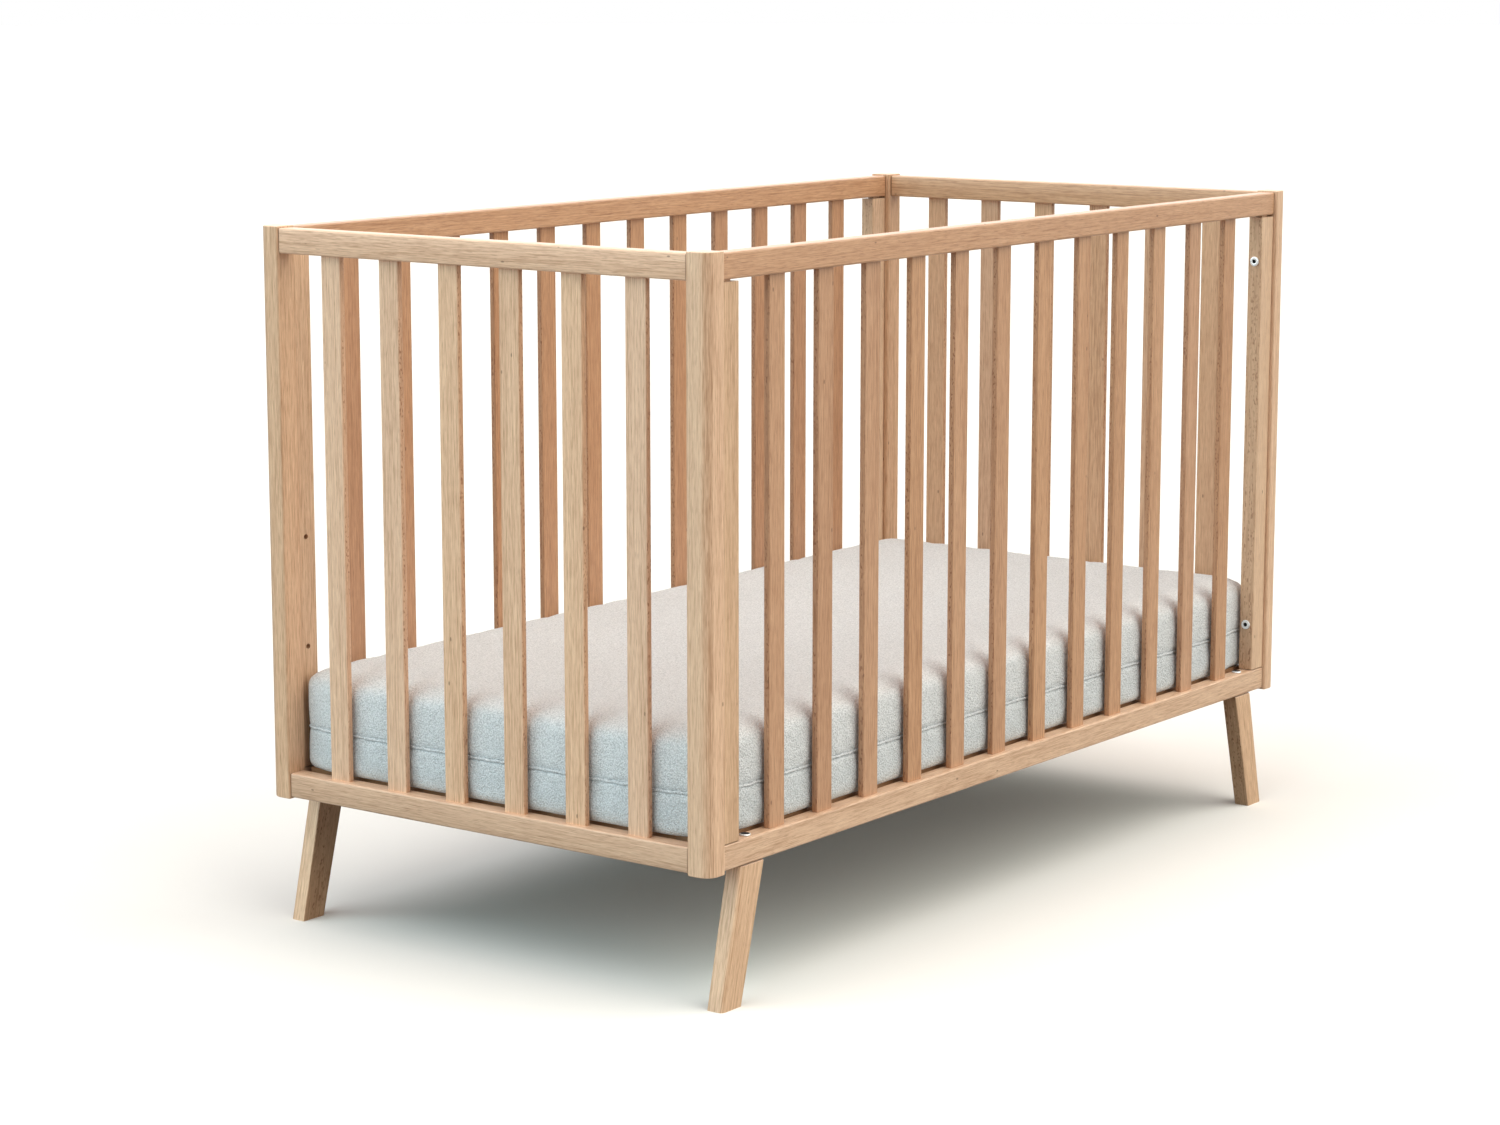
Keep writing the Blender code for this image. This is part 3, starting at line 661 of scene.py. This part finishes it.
def turned_bolt_mesh(length, socket, deep):
    """Flat-headed bolt along -Z with a chamfered hexagon socket, seat at the origin."""
    bm = bmesh.new()

    def ring(radius, z, hexagonal=False):
        points = []
        for i in range(BOLT_SIDES):
            angle = FULL_TURN * i / BOLT_SIDES
            reach = radius
            if hexagonal:
                within = (angle % (math.pi / 3)) - math.pi / 6
                reach = radius * math.cos(math.pi / 6) / math.cos(within)
            points.append(bm.verts.new((reach * math.cos(angle), reach * math.sin(angle), z)))
        return points

    rings = [ring(2.4 * MM, -length), ring(3.0 * MM, -length + 0.8 * MM)]
    rings += [ring(radius * MM, height * MM) for radius, height in BOLT_OUTLINE]
    rings += [ring(socket + 0.6 * MM, 1.80 * MM), ring(socket + 0.15 * MM, 1.60 * MM)]
    rings += [ring(socket, 1.40 * MM, True), ring(socket - 0.1 * MM, deep, True)]
    skin(bm, rings)
    return bm


def bolts(zinc, dark):
    """Panel bolts and leg bolts, in place of the frame's coarse ones."""
    for name in sorted(NODES):
        if "bolt" not in name:
            continue
        lo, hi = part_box(name)
        place = Vector(middle(lo, hi))
        if name.startswith("panel_bolt"):
            outward = -1.0 if lo[0] + hi[0] > 0 else 1.0
            place.x = (hi[0] if outward > 0 else lo[0]) - outward * BOLT_HEAD
            turn = Vector((outward, 0.0, 0.0)).to_track_quat("Z", "Y").to_matrix().to_4x4()
            length = hi[0] - lo[0] - BOLT_HEAD
            socket, deep, first_dark = PANEL_SOCKET
        else:
            place.z = hi[2] - BOLT_HEAD
            turn = Matrix.Identity(4)
            length = hi[2] - lo[2] - BOLT_HEAD
            socket, deep, first_dark = LEG_SOCKET
        twist = Matrix.Rotation(node_seed(name).uniform(0.0, math.pi / 3), 4, "Z")
        bm = turned_bolt_mesh(length, socket, deep)
        bmesh.ops.transform(bm, matrix=Matrix.Translation(place) @ turn @ twist, verts=bm.verts)
        piece = finish_mesh(bm, name.replace("_bolt", "_bolt_screw"), 30)
        piece.data.materials.append(zinc)
        piece.data.materials.append(dark)
        # painted shade: the socket's walls and floor, and on the leg bolts the chamfer round it, get the
        # near-black material
        polygons = piece.data.polygons
        for polygon in polygons[first_dark * BOLT_SIDES : BOLT_BANDS * BOLT_SIDES]:
            polygon.material_index = 1
        polygons[-1].material_index = 1
        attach(piece, "frame")
        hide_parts(name)


def pins(zinc):
    """Base pins with eased ends, in place of the frame's plain ones."""
    for name in sorted(NODES):
        if not name.startswith("base_pin"):
            continue
        lo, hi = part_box(name)
        x = (lo[0] + hi[0]) / 2
        z = (lo[2] + hi[2]) / 2
        inward = -1.0 if lo[1] + hi[1] > 0 else 1.0
        free = hi[1] if inward > 0 else lo[1]
        length = hi[1] - lo[1]
        radius = (hi[2] - lo[2]) / 2 * PIN_FILL
        outline = (
            (radius * 0.55, 0.0),
            (radius * 0.9, 0.35 * MM),
            (radius, 1.1 * MM),
            (radius, length - 0.8 * MM),
            (radius * 0.8, length),
        )
        bm = bmesh.new()
        rings = []
        for reach, depth in outline:
            y = free - inward * depth
            ring = []
            for i in range(PIN_SIDES):
                angle = FULL_TURN * i / PIN_SIDES
                ring.append(bm.verts.new((x + reach * math.cos(angle), y, z + reach * math.sin(angle))))
            rings.append(ring)
        skin(bm, rings)
        piece = finish_mesh(bm, name.replace("base_pin", "support_pin"), 50)
        dress(piece, zinc)
        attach(piece, "frame")
        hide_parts(name)


# ---------------------------------------------------------------- mattress

MATTRESS_SEAM = 0.2345
TOP_ROUND = 23 * MM
BOTTOM_ROUND = 4 * MM
CORNER_ROUND = 20 * MM
CORNER_TAPER = 0.35

# Cover: colour of loops and hollows, and the painted light and shade on its top, its border and the border's
# foot
KNIT_PALE = (0.865, 0.885, 0.905)
KNIT_DEEP = (0.585, 0.605, 0.62)
TOP_PAINTED_LIGHT = (0.97, 0.94, 0.92, 1.0)
BORDER_PAINTED_LIGHT = (1.06, 1.065, 1.07, 1.0)
FOOT_PAINTED_SHADE = (0.90, 0.935, 0.955, 1.0)
LOOPS_PER_METRE = (480.0, 700.0, 590.0)
LOOP_SLANT = (0.6, 0.5, 0.7)

# Places of the mesh rows beside the seam, in millimetres from it
SEAM_ROWS = (-11.0, -7.0, -4.5, -2.6, -1.2, 0.0, 1.2, 2.6, 4.5, 7.0, 11.0)
MESH_STEP = 10 * MM

# Loose cover: how the cloth behaves, and how far it may move from the foam
COVER_CLOTH = {
    "quality": 5,
    "mass": 0.2,
    "air_damping": 3.0,
    "tension_stiffness": 15.0,
    "compression_stiffness": 15.0,
    "shear_stiffness": 5.0,
    "bending_stiffness": 0.4,
    "use_pressure": True,
    "uniform_pressure_force": 1.5,
    "shrink_min": -0.022,
    "vertex_group_mass": "held",
    "pin_stiffness": 1.0,
}
COVER_FRAMES = 24
COVER_REACH = 2.6 * MM
HELD_FULLY = 1.0
HELD_SEAM = 0.95
HELD_TOP = 0.50
HELD_SIDE = 0.34

# Bulge of the sides over the rails, and where it dies out beside the posts and stiles
SWELL = 6.8 * MM
SWELL_LIMIT = 8 * MM
SWELL_TAPER = 0.30
SWELL_EASE = 34 * MM
SWELL_DEPTH = 45 * MM
POST_MARGIN = 14 * MM
STILE_MARGIN = 8 * MM

# Seam: groove, pull of the thread, gathers and creases, each with its depth and reach
GROOVE = (1.5 * MM, 3.2 * MM)
PINCH = (1.5 * MM, 12 * MM)
GATHER = (0.55 * MM, 8 * MM)
CREASE = (0.95 * MM, 22 * MM)
CREASE_WIDTH = 5 * MM
GATHERS = 9
CREASES = 34
WELT_RADIUS = 1.65 * MM
WELT_RINGS = 900
WELT_SIDES = 8


def cover_material(name, brightness):
    """Pale terry knit: small soft loops in slanted rows, clumped, with a little cloudy tone."""
    material, g, shader = new_material(name)
    vector = g.add("ShaderNodeTexCoord").outputs["Object"]
    slant = g.add("ShaderNodeMapping", {"Vector": vector, "Rotation": LOOP_SLANT}).outputs["Vector"]
    loops = g.add(
        "ShaderNodeTexVoronoi",
        {"Vector": g.vector("MULTIPLY", slant, LOOPS_PER_METRE), "Scale": 1.0, "Smoothness": 0.35},
        feature="SMOOTH_F1",
    )
    cell = loops.outputs["Distance"]
    fuzz = g.noise(vector, 1900.0, 2.0, 0.6)
    clump = g.noise(vector, 430.0, 2.0, 0.7)
    cloud = g.noise(vector, 11.0, 3.0)
    level = g.math("MULTIPLY_ADD", cell, -1.35, 1.16)
    for noise, strength in ((clump, 1.45), (fuzz, 0.45), (cloud, 0.14)):
        level = g.swing(noise, strength, level)
    pale = tuple(min(1.0, v * brightness) for v in KNIT_PALE) + (1.0,)
    deep = tuple(v * brightness for v in KNIT_DEEP) + (1.0,)
    cloth = g.mix(g.span(level, 0.10, 0.95), deep, pale)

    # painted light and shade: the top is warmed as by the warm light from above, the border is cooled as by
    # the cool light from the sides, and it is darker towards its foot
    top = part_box("mattress")[1][2]
    level_up = g.axes(vector)["Z"]
    border = g.span(level_up, top - 20 * MM, top - 6 * MM, 1.0, 0.0, smooth=True)
    foot = g.span(level_up, top - 100 * MM, top - 45 * MM, 1.0, 0.0, smooth=True)
    above = g.mix(1.0, cloth, TOP_PAINTED_LIGHT, "MULTIPLY")
    beside = g.mix(1.0, cloth, g.mix(foot, BORDER_PAINTED_LIGHT, FOOT_PAINTED_SHADE), "MULTIPLY")
    g.feed(shader.inputs["Base Color"], g.mix(border, above, beside))
    shader.inputs["Roughness"].default_value = 0.95
    shader.inputs["Specular IOR Level"].default_value = 0.10
    shader.inputs["Sheen Weight"].default_value = 0.20
    shader.inputs["Sheen Roughness"].default_value = 0.5
    height = g.math("MULTIPLY_ADD", cell, -0.9, g.math("MULTIPLY", fuzz, 0.35))
    height = g.math("MULTIPLY_ADD", clump, 1.1, height)
    g.bump(shader, height, 0.75, 1.8 * MM)
    return material


def spaced(lo, hi, step, dense=None):
    """Places from lo to hi about a step apart, with close rows round a dense place."""
    stops = [lo, hi]
    if dense is not None:
        stops = sorted(stops + [dense + offset * MM for offset in SEAM_ROWS])
    places = [stops[0]]
    for a, b in zip(stops, stops[1:]):
        count = max(1, round((b - a) / step))
        places += [a + (b - a) * (i + 1) / count for i in range(count)]
    return places


def foam_shape(lo, hi, step):
    """Grid of quads over a block with soft edges and rounded corners."""
    xs = spaced(lo[0], hi[0], step)
    ys = spaced(lo[1], hi[1], step)
    zs = spaced(lo[2], hi[2], step * 0.8, MATTRESS_SEAM)
    centre = Vector(middle(lo, hi))
    half = [(b - a) / 2 for a, b in zip(lo, hi)]
    bm = bmesh.new()
    seen = {}

    def soft_edge(depth, radius):
        """How far a rounded edge draws in at a depth from the face."""
        part = min(1.0, depth / radius)
        return radius * (1.0 - math.sqrt(1.0 - (1.0 - part) ** 2))

    def vert(i, j, k):
        """Vertex of a place in the grid, made once."""
        key = (i, j, k)
        if key in seen:
            return seen[key]
        p = Vector((xs[i], ys[j], zs[k]))
        inset = soft_edge(hi[2] - p.z, TOP_ROUND)
        inset += soft_edge(p.z - lo[2], BOTTOM_ROUND)
        size = (half[0] - inset, half[1] - inset)
        flat = [(p[n] - centre[n]) * size[n] / half[n] for n in range(2)]
        corner = CORNER_ROUND - CORNER_TAPER * inset
        inner = [max(-(size[n] - corner), min(size[n] - corner, flat[n])) for n in range(2)]
        out = [flat[n] - inner[n] for n in range(2)]
        length = math.hypot(*out)
        if min(abs(out[0]), abs(out[1])) > 1e-9:
            bound = max(abs(out[0]), abs(out[1])) / length
            out = [value * bound for value in out]
        seen[key] = bm.verts.new((centre.x + inner[0] + out[0], centre.y + inner[1] + out[1], p.z))
        return seen[key]

    def quad(*corners):
        """Face between four places in the grid."""
        bm.faces.new([vert(*corner) for corner in corners])

    nx, ny, nz = len(xs) - 1, len(ys) - 1, len(zs) - 1
    for a in range(nx):
        for b in range(ny):
            quad((a, b, 0), (a, b + 1, 0), (a + 1, b + 1, 0), (a + 1, b, 0))
            quad((a, b, nz), (a + 1, b, nz), (a + 1, b + 1, nz), (a, b + 1, nz))
    for c in range(nz):
        for a in range(nx):
            quad((a, 0, c), (a + 1, 0, c), (a + 1, 0, c + 1), (a, 0, c + 1))
            quad((a, ny, c), (a, ny, c + 1), (a + 1, ny, c + 1), (a + 1, ny, c))
        for b in range(ny):
            quad((0, b, c), (0, b, c + 1), (0, b + 1, c + 1), (0, b + 1, c))
            quad((nx, b, c), (nx, b + 1, c), (nx, b + 1, c + 1), (nx, b, c + 1))
    return bm


def relax_cover(obj):
    """Let the slightly loose cover settle over the foam, held at its seam and underside."""
    rest = np.array([v.co[:] for v in obj.data.vertices])
    low, high = rest[:, 2].min(), rest[:, 2].max()
    hold = obj.vertex_groups.new(name="held")
    for i, point in enumerate(rest):
        strength = HELD_TOP if point[2] > high - 2.0 * MM else HELD_SIDE
        if point[2] < low + 1.0 * MM:
            strength = HELD_FULLY
        elif abs(point[2] - MATTRESS_SEAM) < 1.3 * MM:
            strength = HELD_SEAM
        hold.add([i], strength, "REPLACE")
    cloth = obj.modifiers.new("cover", "CLOTH")
    for key, value in COVER_CLOTH.items():
        setattr(cloth.settings, key, value)
    cloth.settings.effector_weights.gravity = 0.0
    scene = bpy.context.scene
    scene.frame_start = cloth.point_cache.frame_start = 1
    scene.frame_end = cloth.point_cache.frame_end = COVER_FRAMES
    for number in range(1, COVER_FRAMES + 1):
        scene.frame_set(number)
    soft = obj.evaluated_get(bpy.context.evaluated_depsgraph_get())
    moved = np.array([v.co[:] for v in soft.data.vertices])
    obj.modifiers.remove(cloth)
    scene.frame_set(1)
    delta = moved - rest
    length = np.linalg.norm(delta, axis=1)
    limited = COVER_REACH * np.tanh(length / COVER_REACH) / np.maximum(length, 1e-9)
    scale = np.where(length > 1e-9, limited, 1.0)
    result = rest + delta * scale[:, None]
    result[:, 2] = np.maximum(result[:, 2], low)
    for vertex, point in zip(obj.data.vertices, result):
        vertex.co = point


def ease(value):
    """Smooth step from 0 to 1."""
    value = max(0.0, min(1.0, value))
    return value * value * (3.0 - 2.0 * value)


def swell(obj, half, low, high):
    """Let the sides stand out over the rails towards the slats, between posts and stiles."""
    clear_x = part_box("stile_front_right")[0][0] - STILE_MARGIN
    clear_y = abs(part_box("post_front_right")[1][1]) - POST_MARGIN
    limits = (half[0] + SWELL_LIMIT, half[1] + SWELL_LIMIT)
    for vertex in obj.data.vertices:
        p = vertex.co
        slope = 1.0 - SWELL_TAPER * (p.z - low) / (high - low)
        along = (ease((clear_y - abs(p.y)) / SWELL_EASE), ease((clear_x - abs(p.x)) / SWELL_EASE))
        for n in (0, 1):
            near = ease((abs(p[n]) - half[n] + SWELL_DEPTH) / SWELL_DEPTH)
            push = SWELL * slope * along[n] * near
            p[n] = math.copysign(min(abs(p[n]) + push, limits[n]), p[n])


def edge_distance(point, half):
    """How far round the mattress a point of its side lies."""
    x, y = point[0], point[1]
    if abs(x) / half[0] > abs(y) / half[1]:
        return (y if x > 0 else -y) + (half[1] if x > 0 else 3 * half[1] + 2 * half[0])
    return (-x if y > 0 else x) + (2 * half[1] + half[0] if y > 0 else 4 * half[1] + 3 * half[0])


def pucker(obj, half):
    """Groove of the seam, and the small gathers and creases that run into it."""
    chance = random.Random(SEED)

    # each gather has a wavelength in metres, a phase and a size; each crease a place, a slant and a size
    waves = []
    for _ in range(GATHERS):
        waves.append((chance.uniform(0.008, 0.030), chance.uniform(0.0, 6.28), chance.uniform(0.5, 1.0)))
    folds = []
    for _ in range(CREASES):
        folds.append((chance.uniform(0.0, 4.0), chance.uniform(-0.7, 0.7), chance.uniform(0.5, 1.0)))
    normals = [v.normal.copy() for v in obj.data.vertices]
    for vertex, normal in zip(obj.data.vertices, normals):
        rise = vertex.co.z - MATTRESS_SEAM
        if abs(normal.z) > 0.75 or abs(rise) > 0.07:
            continue
        along = edge_distance(vertex.co, half)
        total = sum(size * math.sin(FULL_TURN * along / wave + phase) for wave, phase, size in waves) / 4.0
        gather = total * math.exp(-abs(rise) / GATHER[1]) * GATHER[0]
        crease = 0.0
        for place, slant, size in folds:
            off = (along - place - slant * rise) / CREASE_WIDTH
            if abs(off) < 3.0:
                crease += size * (off * off - 0.6) * math.exp(-off * off) * math.exp(-abs(rise) / CREASE[1])
        groove = -GROOVE[0] * math.exp(-((rise / GROOVE[1]) ** 2))
        pinch = -PINCH[0] * math.exp(-abs(rise) / PINCH[1])
        vertex.co += normal * (groove + pinch + gather + crease * CREASE[0])


def seam_welt(obj, half):
    """Thin welt that lies in the groove of the cover, all the way round."""
    tree = BVHTree.FromObject(obj, bpy.context.evaluated_depsgraph_get())
    chance = random.Random(SEED + 1)
    wavelengths = (0.31, 0.083, 0.021)
    phases = [chance.uniform(0.0, 6.28) for _ in wavelengths]
    stitch_length = 0.0058
    outline = rounded_outline(-half[0], half[0], -half[1], half[1], CORNER_ROUND, 8)
    closed = outline + outline[:1]
    lengths = [0.0]
    for a, b in zip(closed, closed[1:]):
        lengths.append(lengths[-1] + math.hypot(b[0] - a[0], b[1] - a[1]))
    bm = bmesh.new()
    rings = []
    for i in range(WELT_RINGS):
        target = lengths[-1] * i / WELT_RINGS
        k = max(n for n in range(len(outline)) if lengths[n] <= target)
        part = (target - lengths[k]) / max(1e-9, lengths[k + 1] - lengths[k])
        x, y = (a + (b - a) * part for a, b in zip(closed[k], closed[k + 1]))
        core = [max(-size + CORNER_ROUND, min(size - CORNER_ROUND, v)) for size, v in zip(half, (x, y))]
        outward = (Vector((x, y, 0.0)) - Vector((core[0], core[1], 0.0))).normalized()
        bends = (math.sin(target / wave * FULL_TURN + phase) for wave, phase in zip(wavelengths, phases))
        z = MATTRESS_SEAM + 0.2 * MM + 0.25 * MM * sum(bends)
        hit = tree.ray_cast(Vector((x, y, z)) + outward * 0.03, -outward, 0.06)[0]
        centre = Vector((hit.x, hit.y, z)) + outward * 1.0 * MM
        stitch = 1.0 + 0.16 * math.sin(target / stitch_length * FULL_TURN)
        ring = []
        for n in range(WELT_SIDES):
            angle = FULL_TURN * n / WELT_SIDES
            spoke = outward * math.cos(angle) * 0.8 + Vector((0, 0, 1)) * math.sin(angle)
            ring.append(bm.verts.new(centre + spoke * WELT_RADIUS * stitch))
        rings.append(ring)
    skin(bm, rings + rings[:1], capped=False)
    return finish_mesh(bm, "mattress_seam_welt", 60)


def mattress():
    """Foam mattress in its knitted cover, with the welted seam round its middle."""
    lo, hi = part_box("mattress")
    half = ((hi[0] - lo[0]) / 2, (hi[1] - lo[1]) / 2)
    bm = foam_shape(lo, hi, MESH_STEP)
    bmesh.ops.recalc_face_normals(bm, faces=bm.faces)
    mesh = bpy.data.meshes.new("mattress_cover")
    bm.to_mesh(mesh)
    bm.free()
    obj = bpy.data.objects.new("mattress_cover", mesh)
    bpy.context.scene.collection.objects.link(obj)
    relax_cover(obj)
    swell(obj, half, lo[2], hi[2])
    pucker(obj, half)
    mesh.shade_smooth()
    welt = seam_welt(obj, half)
    subdivision = obj.modifiers.new("fine", "SUBSURF")
    subdivision.levels = 1
    subdivision.render_levels = 1
    dress(obj, cover_material("mattress_knit", 1.0))
    dress(welt, cover_material("mattress_welt", 0.98))
    for piece in (obj, welt):
        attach(piece, "mattress")
        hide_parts("mattress")


# ---------------------------------------------------------------- stage


def floor():
    """Pale floor that throws back less light than the camera sees on it."""
    bm = bmesh.new()
    bmesh.ops.create_circle(bm, cap_ends=True, segments=96, radius=FLOOR_RADIUS)
    disc = finish_mesh(bm, "floor")
    material, g, shader = new_material("floor_paint")
    path = g.add("ShaderNodeLightPath").outputs
    g.feed(shader.inputs["Base Color"], g.mix(path["Is Camera Ray"], FLOOR_BOUNCED, FLOOR_SEEN))
    shader.inputs["Roughness"].default_value = 0.9
    shader.inputs["Specular IOR Level"].default_value = 0.0
    dress(disc, material)


def surroundings():
    """White room: dim for matt surfaces, bright in reflections, plain white to the camera."""
    world = bpy.data.worlds.new("studio")
    world.use_nodes = True
    g = Graph(world.node_tree)
    path = g.add("ShaderNodeLightPath").outputs
    background = world.node_tree.nodes["Background"]
    background.inputs["Color"].default_value, background.inputs["Strength"].default_value = SKY
    light = background.outputs[0]
    for ray, (color, strength) in (("Is Glossy Ray", SKY_MIRRORED), ("Is Camera Ray", SKY_SEEN)):
        other = g.add("ShaderNodeBackground", {"Color": color, "Strength": strength})
        chosen = g.add("ShaderNodeMixShader")
        for place, value in enumerate((path[ray], light, other.outputs[0])):
            g.feed(chosen.inputs[place], value)
        light = chosen.outputs[0]
    g.feed(world.node_tree.nodes["World Output"].inputs["Surface"], light)
    bpy.context.scene.world = world


def suns():
    """Three broad suns for plain soft light."""
    for name, direction, width, color in SUNS:
        light = bpy.data.lights.new(name, "SUN")
        light.energy = math.pi * max(color)
        light.angle = math.radians(width)
        light.color = tuple(value / max(color) for value in color)
        lamp = bpy.data.objects.new(name, light)
        lamp.rotation_euler = Vector(direction).to_track_quat("Z", "Y").to_euler()
        bpy.context.scene.collection.objects.link(lamp)


def camera():
    """Camera at the photograph's viewing angle."""
    scene = bpy.context.scene
    view = bpy.data.objects.new("camera", bpy.data.cameras.new("camera"))
    view.data.lens = CAMERA_LENS
    view.data.sensor_width = CAMERA_SENSOR
    view.data.clip_end = CAMERA_FAR
    view.location = CAMERA_PLACE
    view.rotation_euler = (math.pi / 2 - CAMERA_DOWN, 0.0, CAMERA_HEADING - math.pi / 2)
    scene.collection.objects.link(view)
    scene.camera = view
    scene.view_settings.view_transform = "Standard"


dress_frame()
for end_name, end_sign in (("left", -1.0), ("right", 1.0)):
    end_panel(end_name, end_sign)
bed_base()
zinc_plate = zinc_material()
bolts(zinc_plate, socket_material())
pins(zinc_plate)
mattress()
floor()
surroundings()
suns()
camera()
